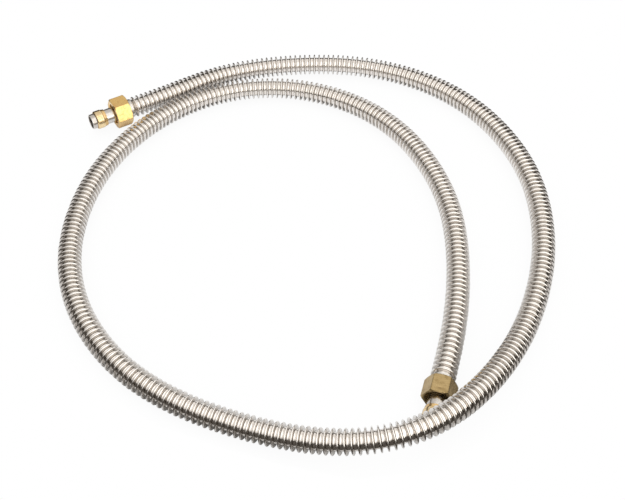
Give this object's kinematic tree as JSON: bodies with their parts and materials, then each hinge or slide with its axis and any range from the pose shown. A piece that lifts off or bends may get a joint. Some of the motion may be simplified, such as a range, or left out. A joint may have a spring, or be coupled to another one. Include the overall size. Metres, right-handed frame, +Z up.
{
  "type": "flexible gas hose",
  "caption": "Corrugated stainless steel gas hose in a loose spiral, each end a plain stub tube with a loose brass union nut and compression ring.",
  "frame": {"origin": "on the floor, under the middle of the hose's outline as it lies", "axes": "+Z up from the floor, +Y along the spiral's longer width towards the far fitting, +X to the right seen from the near fitting's side"},
  "size_m": [0.4499, 0.4988, 0.0416],
  "materials": {
    "corrugated_steel": "bright rolled corrugations",
    "turned_steel": "turned and polished",
    "stub_steel": "drawn bright tube",
    "far_nut_brass": "machined, fine cutting marks",
    "near_nut_brass": "machined, fine cutting marks, one small nick",
    "ring_brass": "turned and bright"
  },
  "bodies": {
    "hose_with_stubs": {"hose": "corrugated_steel", "far_end_ring": "turned_steel", "far_stub_tube": "stub_steel", "near_end_ring": "turned_steel", "near_stub_tube": "stub_steel"},
    "far_nut": {"far_union_nut": "far_nut_brass"},
    "far_ring": {"far_compression_ring": "ring_brass"},
    "near_nut": {"near_union_nut": "near_nut_brass"},
    "near_ring": {"near_compression_ring": "ring_brass"}
  },
  "joints": [
    {"name": "far_nut_turn", "type": "hinge", "parent": "hose_with_stubs", "child": "far_nut", "pos_m": [-0.19226, 0.1563, 0.0135], "axis": [-0.8593, -0.5115, 0], "continuous": true},
    {"name": "far_ring_slide", "type": "slide", "parent": "hose_with_stubs", "child": "far_ring", "axis": [-0.8593, -0.5115, 0], "range_m": [-0.0205, 0.0044]},
    {"name": "near_nut_turn", "type": "hinge", "parent": "hose_with_stubs", "child": "near_nut", "pos_m": [0.10371, -0.18556, 0.012], "axis": [-0.2788, -0.9603, 0], "continuous": true},
    {"name": "near_ring_slide", "type": "slide", "parent": "hose_with_stubs", "child": "near_ring", "axis": [-0.2788, -0.9603, 0], "range_m": [-0.0215, 0.0044]}
  ]
}
